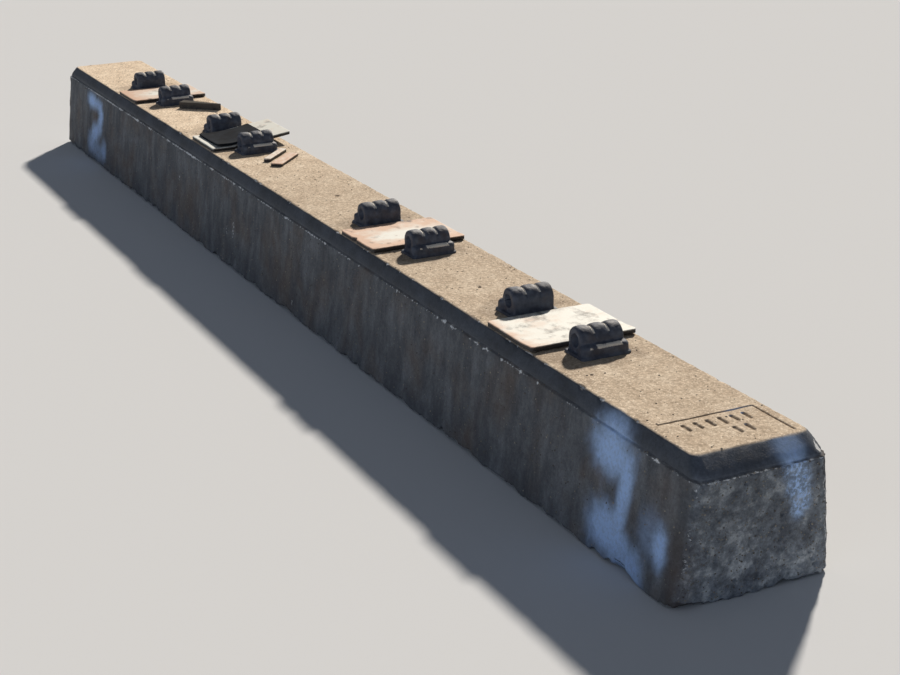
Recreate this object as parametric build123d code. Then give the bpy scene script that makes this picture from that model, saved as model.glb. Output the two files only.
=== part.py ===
from build123d import *
import os

os.makedirs("parts", exist_ok=True)

# Concrete railway sleeper with four rail seats, lying on its base.
# Millimetres. X runs along the sleeper, Y across it, Z up.
# The origin is the middle of the underside.

# Concrete body
sleeper_length = 3200.0
top_width = 190.0
bevel_foot_width = 218.0
base_width = 265.0
body_height = 215.0
bevel_drop = 27.0
end_bevel_run = 32.0
end_set_back_at_base = 13.0
corner_radius = 20.0
top_corner_radius = 14.0

# Rail seats: two tracks' worth of seats, one gauge apart and stepped along the sleeper
rail_centre_distance = 1505.0
seat_step = 600.0

# Rail pads
pad_length = 150.0
pad_thickness = 7.5
pad_side_margin = 1.0
pad_corner_radius = 5.0
displaced_pad_shift = 3.0
displaced_pad_lift = 20.0
displaced_pad_bend = -44.0

# Cast shoulders, measured outwards from the middle of their rail seat
rail_face_offset = 86.0
tube_radius = 22.0
tube_axis_height = 22.5
tube_length = 75.0
tube_groove_radius = 19.0
tube_end_radius = 18.5
groove_width = 3.0
hump_crest_share = 0.58
clip_bore_radius = 11.5
heel_width = 11.5
heel_height = 21.0
heel_length = 85.0
heel_clearance = 1.0
heel_corner_radius = 7.0
foot_thickness = 4.0
foot_rim = 2.0
head_corner_radius = 7.0
stem_width = 32.0
stem_length = 44.0
stem_depth = 100.0
anchor_width = 46.0
anchor_length = 60.0
anchor_height = 16.0
stem_corner_radius = 6.0

# Loose pieces left lying on the top
sheet_length = 138.0
sheet_width = 120.0
sheet_thickness = 5.0
sheet_centre_x = 4.0
sheet_centre_y = -17.0
sheet_clearance = 0.1
bar_length = 112.0
bar_width = 27.0
bar_height = 16.0
bar_place = (-843.0, 38.0, 47.0)
bar_tip_width = 7.0
bar_taper_run = 104.0
strip_1_size = (100.0, 16.0, 8.0)
strip_1_place = (-264.0, 16.0, 138.0)
strip_2_size = (104.0, 27.0, 7.0)
strip_2_place = (-217.0, 20.5, 138.5)
strip_corner_radius = 2.5

# Sizes that follow from the ones above
top_length = sleeper_length - 2 * end_bevel_run
base_length = sleeper_length - 2 * end_set_back_at_base
bevel_foot_height = body_height - bevel_drop
pad_width = top_width - 2 * pad_side_margin
tube_axis_offset = rail_face_offset + tube_radius
heel_outer_offset = rail_face_offset + 2 * tube_radius + heel_width
outer_seat = (rail_centre_distance + seat_step) / 2
inner_seat = (rail_centre_distance - seat_step) / 2
seat_places = [-outer_seat, -inner_seat, inner_seat, outer_seat]
displaced_seat_x = -inner_seat


def rounded_slab(length, width, height, radius, bottom=0.0):
    """A flat-topped block with rounded upright corners, standing on the level `bottom`."""
    with BuildPart() as slab:
        with BuildSketch(Plane.XY.offset(bottom)):
            RectangleRounded(length, width, radius)
        extrude(amount=height)
    return slab.part


def tapered_block(lower_size, upper_size, lower_radius, upper_radius, bottom, top):
    """A block whose rounded outline changes evenly from `lower_size` to `upper_size`."""
    with BuildPart() as block:
        with BuildSketch(Plane.XY.offset(bottom)):
            RectangleRounded(lower_size[0], lower_size[1], lower_radius)
        with BuildSketch(Plane.XY.offset(top)):
            RectangleRounded(upper_size[0], upper_size[1], upper_radius)
        loft(ruled=True)
    return block.part


def ribbed_tube():
    """The three rounded humps of the clip housing, turned about the tube's own axis."""
    half = tube_length / 2
    hump = (tube_length - 2 * groove_width) / 3
    first = -half + hump
    second = first + groove_width
    with BuildPart() as tube:
        with BuildSketch(Plane.XY):
            with BuildLine():
                Line((0, -half), (tube_end_radius, -half))
                ThreePointArc(
                    (tube_end_radius, -half), (tube_radius, -half + hump_crest_share * hump), (tube_groove_radius, first)
                )
                Line((tube_groove_radius, first), (tube_groove_radius, second))
                ThreePointArc((tube_groove_radius, second), (tube_radius, 0), (tube_groove_radius, -second))
                Line((tube_groove_radius, -second), (tube_groove_radius, -first))
                ThreePointArc(
                    (tube_groove_radius, -first), (tube_radius, half - hump_crest_share * hump), (tube_end_radius, half)
                )
                Line((tube_end_radius, half), (0, half))
                Line((0, half), (0, -half))
            make_face()
        revolve(axis=Axis.Y)
    return Pos(tube_axis_offset, 0, tube_axis_height) * tube.part


def stem():
    """The leg of a shoulder that is cast into the concrete, with its wider anchor at the bottom."""
    leg = rounded_slab(stem_width, stem_length, stem_depth, stem_corner_radius, -stem_depth)
    anchor = rounded_slab(anchor_width, anchor_length, anchor_height, stem_corner_radius, -stem_depth)
    return Pos(tube_axis_offset, 0, 0) * (leg + anchor)


def shoulder():
    """A right-hand shoulder, its rail seat's middle at X 0 and the concrete's top at Z 0."""
    head_width = 2 * tube_radius
    head = rounded_slab(head_width, tube_length, tube_axis_height, head_corner_radius)
    head = Pos(tube_axis_offset, 0, 0) * head
    heel_start = tube_axis_offset + clip_bore_radius + heel_clearance
    heel_span = heel_outer_offset - heel_start
    heel = rounded_slab(heel_span, heel_length, heel_height, heel_corner_radius)
    heel = Pos(heel_start + heel_span / 2, 0, 0) * heel
    foot_start = rail_face_offset - foot_rim
    foot_span = heel_outer_offset + foot_rim - foot_start
    foot = rounded_slab(foot_span, heel_length + 2 * foot_rim, foot_thickness, heel_corner_radius)
    foot = Pos(foot_start + foot_span / 2, 0, 0) * foot
    body = head + heel + foot + ribbed_tube() + stem()
    bore = Cylinder(clip_bore_radius, 2 * heel_length, rotation=(90, 0, 0))
    return body - Pos(tube_axis_offset, 0, tube_axis_height) * bore


def seat_side(piece, seat_x, outward):
    """Puts a right-hand piece on a seat; the left-hand one is turned half a turn about Z."""
    turn = 0 if outward > 0 else 180
    return Pos(seat_x, 0, body_height) * Rot(0, 0, turn) * piece


def bent_slab(length, near, far, thickness, bottom):
    """A slab along X that lies flat up to the bend line and rises evenly from there."""
    bend = displaced_pad_bend
    rise = displaced_pad_lift * (far - bend) / (pad_width / 2 + displaced_pad_shift - bend)
    with BuildPart() as slab:
        with BuildSketch(Plane.YZ.offset(-length / 2)):
            with BuildLine():
                Polyline(
                    (near, bottom),
                    (bend, bottom),
                    (far, bottom + rise),
                    (far, bottom + rise + thickness),
                    (bend, bottom + thickness),
                    (near, bottom + thickness),
                    close=True,
                )
            make_face()
        extrude(amount=length)
    return slab.part


def displaced_pad():
    """The pad of the second seat, bent so that its far end stands clear of the concrete."""
    near = displaced_pad_shift - pad_width / 2
    far = displaced_pad_shift + pad_width / 2
    return bent_slab(pad_length, near, far, pad_thickness, 0)


def draped_sheet():
    """The loose dark sheet, which follows the bent pad that it lies on."""
    near = sheet_centre_y - sheet_width / 2
    far = sheet_centre_y + sheet_width / 2
    return bent_slab(sheet_length, near, far, sheet_thickness, pad_thickness + sheet_clearance)


def tapered_bar():
    """The loose bar: a wedge, straight along one side and narrowing to a blunt tip."""
    near, far = -bar_width / 2, bar_width / 2
    tip_side = near + bar_tip_width
    left, right = -bar_length / 2, bar_length / 2
    with BuildPart() as bar:
        with BuildSketch(Plane.XY):
            with BuildLine():
                Polyline(
                    (left, near), (right, near), (right, tip_side), (right - bar_taper_run, far), (left, far),
                    close=True,
                )
            make_face()
        extrude(amount=bar_height)
    return bar.part


def laid_on_top(piece, place):
    """Lays a piece on the concrete at (x, y), turned by `angle` degrees about Z."""
    x, y, angle = place
    return Pos(x, y, body_height) * Rot(0, 0, angle) * piece


def loose_strip(size):
    """A flat strip of length, width and thickness `size`."""
    return rounded_slab(size[0], size[1], size[2], strip_corner_radius)


# Concrete body: drafted sides, a bevel all round the top, and a pocket round every cast-in stem
upright = tapered_block(
    (base_length, base_width),
    (sleeper_length, bevel_foot_width),
    corner_radius,
    corner_radius,
    0.0,
    bevel_foot_height,
)
crown = tapered_block(
    (sleeper_length, bevel_foot_width),
    (top_length, top_width),
    corner_radius,
    top_corner_radius,
    bevel_foot_height,
    body_height,
)
sleeper_body = upright + crown
for seat_x in seat_places:
    for outward in (-1, 1):
        sleeper_body -= seat_side(stem(), seat_x, outward)

pieces = {"sleeper_body": sleeper_body}

# Shoulders, two to a seat
for number, seat_x in enumerate(seat_places, start=1):
    for side, outward in (("left", -1), ("right", 1)):
        pieces[f"shoulder_{number}_{side}"] = seat_side(shoulder(), seat_x, outward)

# Rail pads between the shoulders
flat_pad = rounded_slab(pad_length, pad_width, pad_thickness, pad_corner_radius)
for number, seat_x in enumerate(seat_places, start=1):
    pad = displaced_pad() if seat_x == displaced_seat_x else flat_pad
    pieces[f"rail_pad_{number}"] = Pos(seat_x, 0, body_height) * pad

# Loose sheet, bar and strips
pieces["loose_sheet"] = Pos(displaced_seat_x + sheet_centre_x, 0, body_height) * draped_sheet()
pieces["loose_bar"] = laid_on_top(tapered_bar(), bar_place)
pieces["loose_strip_1"] = laid_on_top(loose_strip(strip_1_size), strip_1_place)
pieces["loose_strip_2"] = laid_on_top(loose_strip(strip_2_size), strip_2_place)

for name, piece in pieces.items():
    export_step(piece, f"parts/{name}.step")
    print(name, "solids", len(piece.solids()), "volume", round(piece.volume))
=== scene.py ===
"""Looks of a used concrete railway sleeper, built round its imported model.

Metres throughout, in the model's own frame: X along the sleeper, Y across it, Z up, with the origin
in the middle of the underside. Each sub-assembly is a class that builds its meshes and dresses them.
"""

import logging
import math
import random
from collections.abc import Callable, Iterable, Mapping, Sequence
from dataclasses import dataclass, field
from enum import Enum
from typing import Any

import bmesh
import bpy
import numpy as np
from mathutils import Matrix, Vector, noise
from mathutils.kdtree import KDTree


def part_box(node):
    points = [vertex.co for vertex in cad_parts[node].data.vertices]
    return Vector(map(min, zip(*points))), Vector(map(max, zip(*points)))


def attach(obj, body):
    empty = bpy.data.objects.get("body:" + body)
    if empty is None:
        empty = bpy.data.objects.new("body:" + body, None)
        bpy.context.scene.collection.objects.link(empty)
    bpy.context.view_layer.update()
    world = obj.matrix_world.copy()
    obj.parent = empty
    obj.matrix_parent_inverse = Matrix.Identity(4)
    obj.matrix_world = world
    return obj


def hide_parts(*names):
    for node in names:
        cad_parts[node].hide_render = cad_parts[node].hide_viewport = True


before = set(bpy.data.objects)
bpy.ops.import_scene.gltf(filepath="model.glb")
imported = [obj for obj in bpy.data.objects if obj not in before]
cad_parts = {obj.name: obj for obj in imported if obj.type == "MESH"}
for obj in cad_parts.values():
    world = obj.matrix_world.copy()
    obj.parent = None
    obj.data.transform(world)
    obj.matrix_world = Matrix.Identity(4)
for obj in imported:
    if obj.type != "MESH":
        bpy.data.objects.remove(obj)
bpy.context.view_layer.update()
LOG = logging.getLogger("sleeper")

Mesh = bpy.types.Mesh
Node = bpy.types.Node
Piece = bpy.types.Object
Material = bpy.types.Material
Rows = np.ndarray
Triple = tuple[float, float, float]
Four = tuple[float, float, float, float]


def linear(colour: str) -> Four:
    """Turns an sRGB hex colour into the linear values that a shader takes, with an alpha of 1."""
    parts = [int(colour[start:start + 2], 16) / 255 for start in (1, 3, 5)]
    return (*[p / 12.92 if p <= 0.04045 else ((p + 0.055) / 1.055) ** 2.4 for p in parts], 1.0)


@dataclass
class Nodes:
    """Lays nodes in one tree, with a short call for each kind that is laid often."""

    tree: bpy.types.NodeTree

    def fill(self, node: Node, inputs: Mapping[str | int, Any]) -> None:
        """Gives a node's inputs their values or links.

        Args:
            node: The node.
            inputs: Values, hex colours, sockets or nodes by socket name, or by place among the shown
                sockets. A node stands for its first shown output.
        """
        shown = [socket for socket in node.inputs if socket.enabled]
        for key, value in inputs.items():
            socket = shown[key] if isinstance(key, int) else next(s for s in shown if s.name == key)
            if isinstance(value, Node):
                value = next(out for out in value.outputs if out.enabled)
            if isinstance(value, bpy.types.NodeSocket):
                self.tree.links.new(value, socket)
            elif isinstance(value, str) and value.startswith("#"):
                socket.default_value = linear(value)
            else:
                socket.default_value = value

    def add(
        self, kind: str, inputs: Mapping[str | int, Any] | None = None,
        stops: Iterable[tuple[float, str]] = (), **options: Any,
    ) -> Node:
        """Adds a node, sets its options and fills its inputs.

        Args:
            kind: The node's type name.
            inputs: What its sockets get, as in fill.
            stops: For a colour ramp, its places in rising order with their hex colours.
            options: Properties set before the inputs, such as a blend type.

        Returns:
            The new node.
        """
        node = self.tree.nodes.new(kind)
        for name, value in options.items():
            setattr(node, name, value)
        for number, (place, colour) in enumerate(stops):
            elements = node.color_ramp.elements
            stop = elements[number] if number < 2 else elements.new(place)
            stop.position, stop.color = place, linear(colour)
        self.fill(node, inputs or {})
        return node

    def noise(self, place: Any, scale: float, detail: float, roughness: float = 0.5) -> Any:
        """Smooth noise from 0 to 1, with finer layers as strong as its roughness says."""
        inputs = {"Vector": place, "Scale": scale, "Detail": detail, "Roughness": roughness}
        return self.add("ShaderNodeTexNoise", inputs).outputs["Fac"]

    def span(
        self, value: Any, low: float = 0.0, high: float = 1.0, start: Any = 0.0, end: Any = 1.0
    ) -> Node:
        """Turns a value between low and high into one between start and end."""
        limits = {"From Min": low, "From Max": high, "To Min": start, "To Max": end}
        return self.add("ShaderNodeMapRange", {"Value": value, **limits})

    def ramp(self, value: Any, *stops: tuple[float, str]) -> Node:
        """Turns a value into a colour."""
        return self.add("ShaderNodeValToRGB", {"Fac": value}, stops)

    def over(self, under: Any, upper: Any, amount: Any) -> Node:
        """Lays one colour over another by an amount from 0 to 1."""
        return self.add("ShaderNodeMix", {"Factor": amount, "A": under, "B": upper}, data_type="RGBA")

    def between(self, first: Any, second: Any, share: Any) -> Node:
        """A number between two others."""
        return self.add("ShaderNodeMix", {"Factor": share, "A": first, "B": second})

    def math(self, operation: str, *values: Any, **options: Any) -> Node:
        """Works out one sum, product or the like."""
        return self.add("ShaderNodeMath", dict(enumerate(values)), operation=operation, **options)

    def scaled(self, colour: Any, amount: Any) -> Node:
        """Makes a colour brighter or darker."""
        return self.add("ShaderNodeVectorMath", {0: colour, "Scale": amount}, operation="SCALE")

    def axis(self, vector: Any, name: str) -> Any:
        """One of a vector's three numbers."""
        return self.add("ShaderNodeSeparateXYZ", {"Vector": vector}).outputs[name]

    def attribute(self, name: str) -> Any:
        """What the mesh keeps under a name."""
        return self.add("ShaderNodeAttribute", attribute_name=name).outputs["Fac"]

    def bump(self, height: Any, distance: float, strength: float) -> Node:
        """Fine relief from a height."""
        return self.add("ShaderNodeBump", {"Height": height, "Distance": distance, "Strength": strength})


class Grower(Nodes):
    """A geometry-node tree whose named inputs get their values from a table."""

    def __init__(self, name: str, values: Mapping[str, Any]) -> None:
        """Starts the tree.

        Args:
            name: What the tree and the mesh that it grows are called.
            values: What each input gets; "Material" is what the grown mesh wears.
        """
        super().__init__(bpy.data.node_groups.new(name, "GeometryNodeTree"))
        self.name, self.values = name, values
        sockets = self.tree.interface
        sockets.new_socket("Geometry", in_out="OUTPUT", socket_type="NodeSocketGeometry")
        sockets.new_socket("Geometry", in_out="INPUT", socket_type="NodeSocketGeometry")
        kinds = {int: "NodeSocketInt", float: "NodeSocketFloat"}
        for label, value in values.items():
            kind = kinds.get(type(value), "NodeSocketMaterial")
            sockets.new_socket(label, in_out="INPUT", socket_type=kind)
        self.given = self.add("NodeGroupInput").outputs

    def grow(self, base: Mesh, grown: Any) -> Mesh:
        """Ends the tree, runs it on a mesh and keeps what it grows as a plain mesh.

        Args:
            base: The mesh that the tree starts from.
            grown: The geometry that the tree ends in, whose copies become real.

        Returns:
            The grown mesh.
        """
        real = self.add("GeometryNodeRealizeInstances", {"Geometry": grown})
        worn = self.add("GeometryNodeSetMaterial", {"Geometry": real, "Material": self.given["Material"]})
        self.add("NodeGroupOutput", {"Geometry": worn})
        piece = place_piece(self.name, base, None)
        modifier = piece.modifiers.new("Grow", "NODES")
        modifier.node_group = self.tree
        for socket in self.tree.interface.items_tree:
            if socket.in_out == "INPUT" and socket.name in self.values:
                modifier[socket.identifier] = self.values[socket.name]
        return settled_mesh(piece, self.name)


class Field(Enum):
    """What the concrete's mesh tells its material at each point."""

    TOP = "top_side"
    BEVEL = "bevel_band"
    END = "end_face"
    BROKEN = "broken_edge"
    PAINT = "sprayed_paint"
    STAIN = "iron_stain_and_stroke_shade"
    STONY = "stony"


class Side(Enum):
    """Which side of its rail seat a shoulder stands on, as the way it points along X."""

    LEFT = -1
    RIGHT = 1


def store(mesh: Mesh, name: str, values: Rows) -> None:
    """Keeps one number for each point of a mesh under a name."""
    layer = mesh.attributes.get(name) or mesh.attributes.new(name, "FLOAT", "POINT")
    layer.data.foreach_set("value", np.asarray(values, np.float32))


def stored(mesh: Mesh, name: str) -> Rows:
    """Reads back the numbers kept under a name."""
    values = np.empty(len(mesh.vertices), np.float32)
    mesh.attributes[name].data.foreach_get("value", values)
    return values


def read_points(mesh: Mesh) -> Rows:
    """Reads a mesh's points as rows of X, Y and Z."""
    flat = np.empty(len(mesh.vertices) * 3)
    mesh.vertices.foreach_get("co", flat)
    return flat.reshape(-1, 3)


def write_points(mesh: Mesh, points: Rows) -> None:
    """Moves a mesh's points to the given rows of X, Y and Z."""
    mesh.vertices.foreach_set("co", points.ravel())
    mesh.update()


def read_normals(mesh: Mesh) -> Rows:
    """Reads the smooth normal at each point of a mesh."""
    flat = np.empty(len(mesh.vertices) * 3)
    mesh.vertex_normals.foreach_get("vector", flat)
    return flat.reshape(-1, 3)


def rumple(points: Rows, size: float, octaves: int, offset: float) -> Rows:
    """Works out smooth noise, from about -1 to 1, at each point.

    Args:
        points: Rows of X, Y and Z.
        size: How far apart the bumps lie.
        octaves: How many finer layers are added.
        offset: Shifts the pattern, so that two layers differ.

    Returns:
        One number for each point.
    """
    shift = Vector((offset, 1.7 * offset, -0.6 * offset))
    return np.array([noise.fractal(Vector(p) / size + shift, 0.8, 2.0, octaves) for p in points])


def smooth_step(values: Rows, low: float, high: float) -> Rows:
    """Rises smoothly from 0 at low to 1 at high."""
    t = np.clip((values - low) / (high - low), 0, 1)
    return t * t * (3 - 2 * t)


def bell(values: Rows, middle: float | Rows, width: float) -> Rows:
    """Swells to 1 at the middle and has all but faded two widths away from it."""
    return np.exp(-(((values - middle) / width) ** 2))


def cuts(*runs: Triple) -> Rows:
    """Places cuts along an axis, run by run.

    Args:
        runs: The start, end and widest spacing of each run.

    Returns:
        The places in rising order, each once.
    """
    places = [np.linspace(a, b, math.ceil((b - a) / step) + 1) for a, b, step in runs]
    return np.unique(np.concatenate(places).round(7))


def box_skin(counts: tuple[int, int, int], kept_rows: Sequence[int] | None = None) -> tuple[Rows, list]:
    """Lays the outside of a box out in cells, as one closed surface.

    Args:
        counts: How many cuts there are along X, Y and Z, both ends included.
        kept_rows: The rows along Y that the underside keeps, where it may be coarse.

    Returns:
        The three cut numbers of each point, and the faces with their normals outwards.
    """
    skin = np.zeros(counts, bool)
    for axis in range(3):
        ends = [slice(None)] * 3
        for end in (0, -1):
            ends[axis] = end
            skin[tuple(ends)] = True
    dropped = sorted(set(range(counts[1])) - set(kept_rows)) if kept_rows else []
    skin[1:-1, dropped, 0] = False
    number = np.full(counts, -1)
    number[skin] = np.arange(skin.sum())
    faces: list[tuple[int, ...]] = []
    for axis in range(3):
        for end in (0, -1):
            if axis == 2 and end == 0 and kept_rows:
                continue
            sheet = np.take(number, end, axis)
            quads = np.stack((sheet[:-1, :-1], sheet[1:, :-1], sheet[1:, 1:], sheet[:-1, 1:]), -1)
            outwards = (axis != 1) == (end == -1)
            quads = quads.reshape(-1, 4) if outwards else quads.reshape(-1, 4)[:, ::-1]
            faces += [tuple(quad) for quad in quads.tolist()]
    if kept_rows:
        floor = number[:, :, 0]
        last = counts[0] - 2
        for low, high in zip(kept_rows, kept_rows[1:]):
            for i in range(last + 1):
                first_side = floor[i, low:high + 1] if i == 0 else floor[i, [low, high]]
                next_side = floor[i + 1, low:high + 1] if i == last else floor[i + 1, [low, high]]
                faces.append((*first_side.tolist(), *next_side[::-1].tolist()))
    return np.argwhere(skin), faces


def round_plan(x: Rows, y: Rows, half_x: Rows, half_y: Rows, radius: Rows) -> tuple[Rows, Rows]:
    """Pulls the four upright corners of a rectangle's plan onto arcs.

    Args:
        x: Places along X.
        y: Places along Y.
        half_x: Half the rectangle's length at each point.
        half_y: Half its width at each point.
        radius: The corner radius at each point.

    Returns:
        The new places along X and Y.
    """
    u = (np.abs(x) - (half_x - radius)) / radius
    v = (np.abs(y) - (half_y - radius)) / radius
    inside = (u > 0) & (v > 0)
    reach = np.where(inside, np.maximum(u, v), 1)
    angle = np.where(inside, np.minimum(u, v) / reach, 0) * math.pi / 4
    far, near = reach * np.cos(angle), reach * np.sin(angle)
    new_u, new_v = np.where(u >= v, far, near), np.where(u >= v, near, far)
    return (
        np.where(inside, np.sign(x) * (half_x + radius * (new_u - 1)), x),
        np.where(inside, np.sign(y) * (half_y + radius * (new_v - 1)), y),
    )


def rounded_block(
    size: Triple, corner: float, arris: float, cell: float, lower_arris: float = 0.0
) -> tuple[Rows, list]:
    """Lays out a block on the level 0, with rounded upright corners and edges.

    Args:
        size: Its length, width and height.
        corner: The radius of its upright corners.
        arris: The radius of its upper edges.
        cell: The widest spacing of its points.
        lower_arris: The radius of its lower edges.

    Returns:
        Its points and faces.
    """
    half_x, half_y, height = size[0] / 2, size[1] / 2, size[2]
    rim = max(corner, arris)
    x, y = (
        cuts((-half, rim - half, cell / 2), (rim - half, half - rim, cell), (half - rim, half, cell / 2))
        for half in (half_x, half_y)
    )
    runs = [(lower_arris, height - arris, cell), (height - arris, height, arris / 4)]
    if lower_arris:
        runs.append((0, lower_arris, lower_arris / 4))
    z = cuts(*runs)
    steps, faces = box_skin((len(x), len(y), len(z)))
    up = z[steps[:, 2]]
    above = np.clip(up - (height - arris), 0, arris)
    below = np.clip(lower_arris - up, 0, lower_arris)
    inset = arris - np.sqrt(arris**2 - above**2) + lower_arris - np.sqrt(lower_arris**2 - below**2)
    wide_x, wide_y = half_x - inset, half_y - inset
    plan_x, plan_y = x[steps[:, 0]] / half_x * wide_x, y[steps[:, 1]] / half_y * wide_y
    plan_x, plan_y = round_plan(plan_x, plan_y, wide_x, wide_y, np.full(len(up), corner))
    return np.stack((plan_x, plan_y, up), -1), faces


def make_mesh(name: str, points: Rows, faces: Sequence[Sequence[int]]) -> Mesh:
    """Makes a smooth-shaded mesh from points and faces."""
    mesh = bpy.data.meshes.new(name)
    mesh.from_pydata(points.tolist(), [], faces)
    mesh.shade_smooth()
    return mesh


def place_piece(name: str, mesh: Mesh, material: Material | None) -> Piece:
    """Links a mesh to the scene as an object at the origin, wearing one material."""
    if material is not None:
        mesh.materials.clear()
        mesh.materials.append(material)
    piece = bpy.data.objects.new(name, mesh)
    bpy.context.scene.collection.objects.link(piece)
    return piece


def dress(name: str, mesh: Mesh, material: Material, slot: str, *nodes: str) -> Piece:
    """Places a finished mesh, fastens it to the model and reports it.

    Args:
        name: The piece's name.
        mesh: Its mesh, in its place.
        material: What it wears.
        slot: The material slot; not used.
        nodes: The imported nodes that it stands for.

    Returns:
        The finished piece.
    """
    piece = place_piece(name, mesh, material)
    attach(piece, "root")
    if nodes:
        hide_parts(*nodes)
    LOG.info("%s: %d faces", name, len(mesh.polygons))
    return piece


def settled_mesh(piece: Piece, name: str) -> Mesh:
    """Turns an object with its modifiers into a plain mesh and removes the object."""
    shown = piece.evaluated_get(bpy.context.evaluated_depsgraph_get())
    mesh = bpy.data.meshes.new_from_object(shown)
    mesh.name = name
    bpy.data.objects.remove(piece)
    return mesh


def refine(mesh: Mesh, wanted: Callable[[Vector], bool], pieces: int) -> None:
    """Cuts chosen faces of a mesh finer.

    Args:
        mesh: The mesh to change.
        wanted: Tells from a face's middle whether it is cut.
        pieces: How many cuts each of their edges gets.
    """
    work = bmesh.new()
    work.from_mesh(mesh)
    edges = {edge for face in work.faces if wanted(face.calc_center_median()) for edge in face.edges}
    bmesh.ops.subdivide_edges(work, edges=list(edges), cuts=pieces, use_grid_fill=True)
    work.to_mesh(mesh)
    work.free()


@dataclass(frozen=True)
class Finish:
    """A surface finish; each kind lays its own nodes."""

    name: str

    def build(self) -> Material:
        """Makes the material and lays its nodes."""
        material = bpy.data.materials.new(self.name)
        material.use_nodes = True
        nodes = Nodes(material.node_tree)
        nodes.tree.nodes.clear()
        shader = nodes.add("ShaderNodeBsdfPrincipled")
        nodes.add("ShaderNodeOutputMaterial", {"Surface": shader})
        nodes.fill(shader, self.look(nodes, nodes.add("ShaderNodeTexCoord").outputs["Object"]))
        return material

    def look(self, nodes: Nodes, place: Any) -> dict[str, Any]:
        """Lays the nodes that colour and roughen the surface.

        Args:
            nodes: The material's nodes.
            place: Object coordinates.

        Returns:
            What each input of the surface shader gets.
        """
        raise NotImplementedError


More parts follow.
